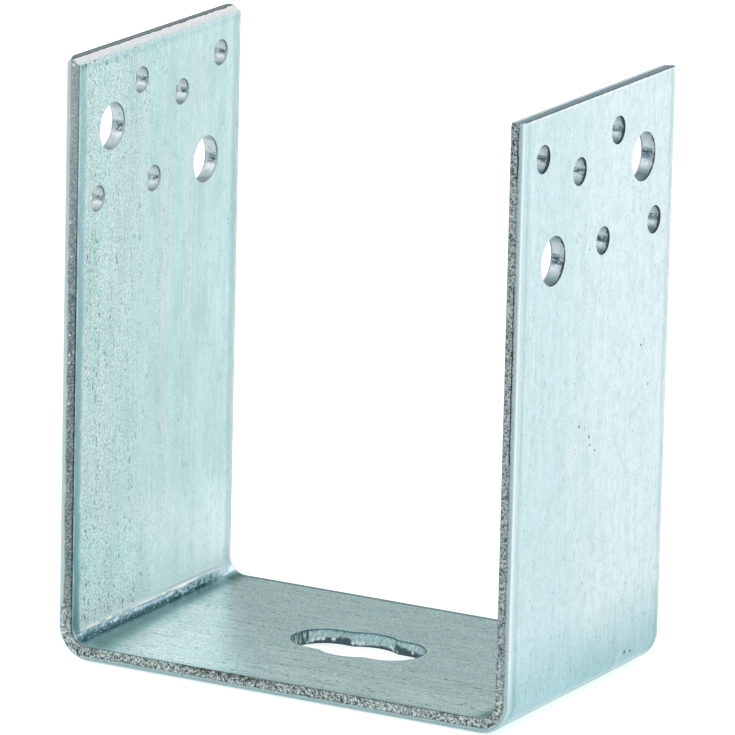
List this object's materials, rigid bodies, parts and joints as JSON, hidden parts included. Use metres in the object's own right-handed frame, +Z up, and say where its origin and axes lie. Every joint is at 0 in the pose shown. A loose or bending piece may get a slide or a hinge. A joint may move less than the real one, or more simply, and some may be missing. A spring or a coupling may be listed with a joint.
{
  "type": "u bracket",
  "caption": "Galvanised steel U bracket that holds a timber post: two drilled cheeks on a base with a slotted fixing hole.",
  "frame": {"origin": "middle of the base's underside", "axes": "+Z up along the cheeks, +X across the gap for the post, +Y along the strip's width, away from the picture's viewer"},
  "size_m": [0.097, 0.06, 0.116],
  "materials": {
    "galvanised_steel": "hot-dip galvanised, dull with streaks along the strip"
  },
  "bodies": {
    "root": {"u_bracket": "galvanised_steel"}
  },
  "joints": []
}
